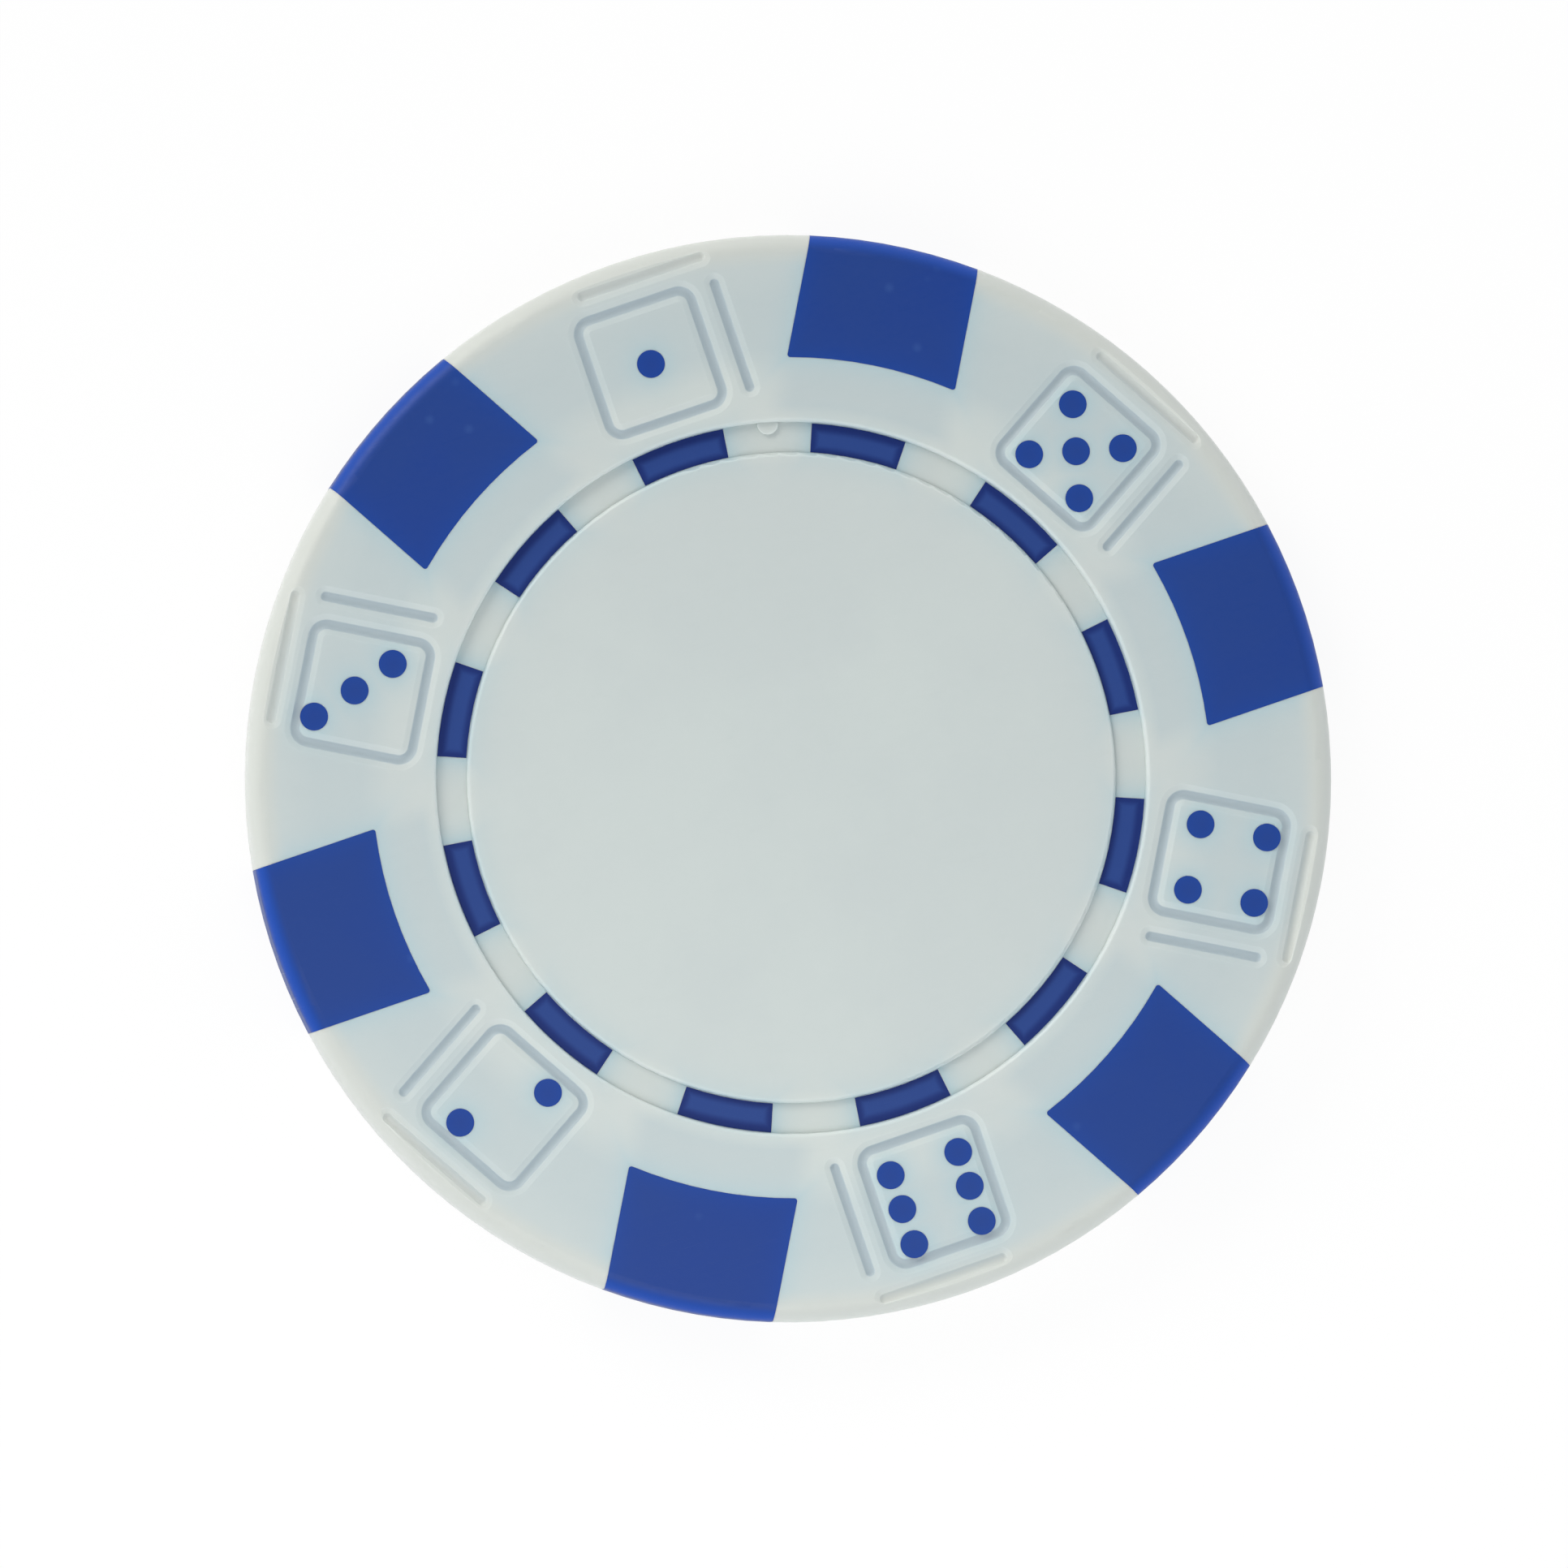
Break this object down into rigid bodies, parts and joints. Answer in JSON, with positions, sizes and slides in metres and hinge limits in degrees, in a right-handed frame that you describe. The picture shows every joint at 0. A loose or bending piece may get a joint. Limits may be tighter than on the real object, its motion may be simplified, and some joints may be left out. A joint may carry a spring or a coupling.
{
  "type": "poker chip",
  "caption": "Round flat poker chip with contrasting edge spots, a dashed ring groove, engraved die faces with pips, and a bare label seat on each face.",
  "frame": {"origin": "centre of the underside, where the chip rests", "axes": "+Z out of the front face, through the thickness; +X through the middle of an edge spot"},
  "size_m": [0.039, 0.039, 0.0033],
  "materials": {
    "slug_steel": "tumbled",
    "core_blue": "satin, moulded",
    "body_white": "satin, moulded"
  },
  "bodies": {
    "root": {"steel_slug": "slug_steel", "insert_core": "core_blue", "chip_body": "body_white"}
  },
  "joints": []
}
